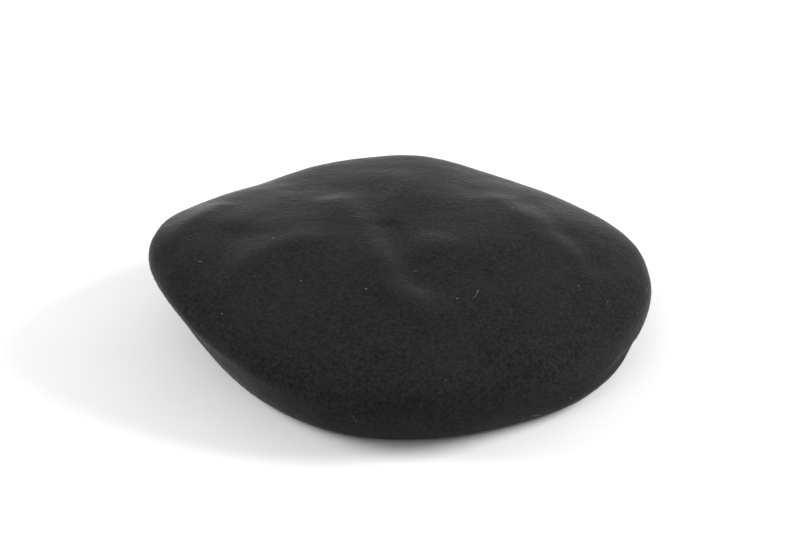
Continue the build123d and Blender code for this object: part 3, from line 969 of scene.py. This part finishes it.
def make_lining_stitches():
    """The gathered seam that joins the tip to the side."""
    row = []
    radius = LINING_RADIUS - 3.0
    for k in range(LINING_STITCHES):
        ends = []
        for side in (-1, 1):
            turn = TAU * k / LINING_STITCHES + side * 1.25 / radius
            x, y = radius * math.cos(turn), radius * math.sin(turn)
            ends.append((x, y, tip_underside(x, y)))
        row.append(stitch(*ends, (0, 0, -1), 0.2))
    finish_piece(many_skins("tip_stitch_row", row, THREAD), "beret", "sewing_thread")


def make_centre_tack(crown_surface):
    """A twisted thread bar from the lining's middle to the felt, with a knot at each end."""
    bottom = LINING_EDGE_Z + LINING_RISE + LINING + PLY_GAP
    top = float(crown_surface[0, :, 2].mean()) - FELT - 0.2
    strands = []
    for start in (0, math.pi):
        path = []
        for share in np.linspace(0, 1, 60):
            turn = start + share * 7 * TAU
            z = bottom + 0.2 + (top - bottom - 0.4) * share
            path.append((0.3 * math.cos(turn), 0.3 * math.sin(turn), z))
        strands.append(tube(path, 0.3, 8))
    for z in (bottom + 0.35, top - 0.35):
        for turn in (0.3, 1.35, 2.4):
            reach = np.array([math.cos(turn), math.sin(turn), 0]) * 2.1
            middle = np.array([0, 0, z])
            strands.append(tube([middle + reach * share for share in np.linspace(-1, 1, 7)], 0.28, 7))
    tack = many_skins("tack_bar", strands, THREAD)
    finish_piece(tack, "beret", "sewing_thread", "lining_centre_tack")


# --- The labels -----------------------------------------------------------------------------------
CARE_WIDTH, CARE_LENGTH, CARE_PLY, CARE_CORNER = 32.0, 26.0, 0.5, 2.5
CARE_HINGE_Y, CARE_Z = 68.0, 39.45  # the fold line, and the leaf's middle height
CARE_HEM, CARE_HEM_RISE, CARE_CLEARANCE = 4.5, 0.2, 1.0
CARE_STITCHES, CARE_STITCH_PITCH = 7, 4.5
SIZE_TAB_TURN = math.radians(63)
SIZE_TAB_WIDTH, SIZE_TAB_HEIGHT, SIZE_TAB_PLY, SIZE_TAB_Z = 15.0, 11.0, 0.4, 19.0


def make_size_tab():
    """The blank tab on the leather, with a tack at each corner."""
    half = SIZE_TAB_WIDTH / 2 - 0.8
    turns = np.linspace(turn_by(-half, SIZE_TAB_TURN), turn_by(half, SIZE_TAB_TURN), 16)
    heights = (SIZE_TAB_Z - SIZE_TAB_HEIGHT / 2, SIZE_TAB_Z + SIZE_TAB_HEIGHT / 2)
    offset = -PLY_GAP - SIZE_TAB_PLY / 2 - 0.06
    tab = oval_slab("size_tab_weave", turns, offset, heights, SIZE_TAB_PLY - 0.08, LABEL)
    finish_piece(tab, "beret", "label_tape", "size_tab")

    tacks = []
    for x in (-5.2, 5.2):
        for z in (-4.1, 4.1):
            ends = []
            for side in (-1, 1):
                turn = turn_by(x + side * 0.9, SIZE_TAB_TURN)
                ends.append(oval_point(turn, offset - SIZE_TAB_PLY / 2, SIZE_TAB_Z + z + side * 0.7))
            tacks.append(stitch(*ends, -oval_outward(SIZE_TAB_TURN), 0.24))
    finish_piece(many_skins("size_tab_tacks", tacks, THREAD), "beret", "sewing_thread", "size_tab_stitches")


def make_care_leaf():
    """The care label's blank leaf, a little curled, with round corners at its free end."""
    free_end = CARE_HINGE_Y - CARE_LENGTH
    grid = []
    for y in np.linspace(free_end, CARE_HINGE_Y, 24):
        from_free = y - free_end
        short = max(0.0, CARE_CORNER - from_free)
        half = CARE_WIDTH / 2 - (CARE_CORNER - math.sqrt(max(0.0, CARE_CORNER**2 - short**2)))
        flat_at_fold = min(1.0, (CARE_HINGE_Y - y) / 6)
        row = []
        for across in np.linspace(-1, 1, 19):
            lengthwise = 0.1 * math.cos(3.1 * from_free / CARE_LENGTH)
            curl = 0.12 * across**2 - lengthwise + 0.05 * math.sin(5 * across)
            row.append((half * across, y, CARE_Z + curl * flat_at_fold))
        grid.append(row)
    leaf = slab("care_leaf", grid, CARE_PLY - 0.15, LABEL)
    finish_piece(leaf, "care_label", "label_tape", "care_label")


def make_care_hem():
    """The hem that holds the leaf, and the tacks that hold the hem."""
    near, z = CARE_HINGE_Y + CARE_CLEARANCE, CARE_Z + CARE_HEM_RISE
    places = np.linspace(-CARE_WIDTH / 2, CARE_WIDTH / 2, 25)
    grid = [[(x, y, z + 0.04 * math.sin(x)) for x in places] for y in np.linspace(near, near + CARE_HEM, 7)]
    hem = slab("care_hem", grid, CARE_PLY - 0.08, LABEL)
    finish_piece(hem, "beret", "label_tape", "care_label_hem")

    row = []
    for k in range(CARE_STITCHES):
        x = (k - (CARE_STITCHES - 1) / 2) * CARE_STITCH_PITCH
        ends = [(x + side * 1.4, near + CARE_HEM / 2, z - CARE_PLY / 2) for side in (-1, 1)]
        row.append(stitch(*ends, (0, 0, -1), 0.25))
    finish_piece(many_skins("care_tacks", row, THREAD), "beret", "sewing_thread", "care_label_stitches")


# --- Making the pieces ----------------------------------------------------------------------------
make_camera()
make_studio()
# Lit and shaded copies of one felt: the smaller sheen lower down is painted shade.
FELT_MATERIALS = [felt_material(name, sheen) for name, sheen, _ in FELT_SHADE_ZONES]
FELT_MATERIAL = FELT_MATERIALS[0]
LEATHER = leather_material("sweatband_leather", (0.022, 0.014, 0.010), (0.05, 0.03, 0.02), 900.0)
PATCH_LEATHER = leather_material("patch_leather", (0.06, 0.028, 0.014), (0.13, 0.065, 0.034), 700.0)
SATIN = satin_material()
TAPE = woven_material("cotton_tape", (0.012, 0.012, 0.012), (0.05, 0.05, 0.05), 1.4)
LABEL = woven_material("label_tape", (0.34, 0.32, 0.28), (0.66, 0.64, 0.58), 1.8)
RIBBON = ribbon_material()
THREAD = thread_material("sewing_thread", (0.012, 0.012, 0.012), (0.06, 0.058, 0.055))
LINT = thread_material("lint_wool", (0.16, 0.16, 0.15), (0.3, 0.3, 0.28))
SLOTS = {
    "wool_felt": FELT_MATERIAL,
    "cotton_tape": TAPE,
    "sweatband_leather": LEATHER,
    "sewing_thread": THREAD,
    "bow_ribbon": RIBBON,
    "satin_lining": SATIN,
    "patch_leather": PATCH_LEATHER,
    "label_tape": LABEL,
}

crown_surface = make_crown(FELT_MATERIALS)
make_fibres(crown_surface, FELT_MATERIAL, LINT)
make_sweatband()
make_welt()
make_tapes()
make_band_stitches()
make_bow()
make_tip()
make_side()
make_back_seam()
make_patch()
make_lining_stitches()
make_centre_tack(crown_surface)
make_size_tab()
make_care_leaf()
make_care_hem()

for part in frame["record"]["subparts"]:
    node = frame["nodes"][part["node"]]
    node.data.materials.clear()
    node.data.materials.append(SLOTS[part["material_slot"]])
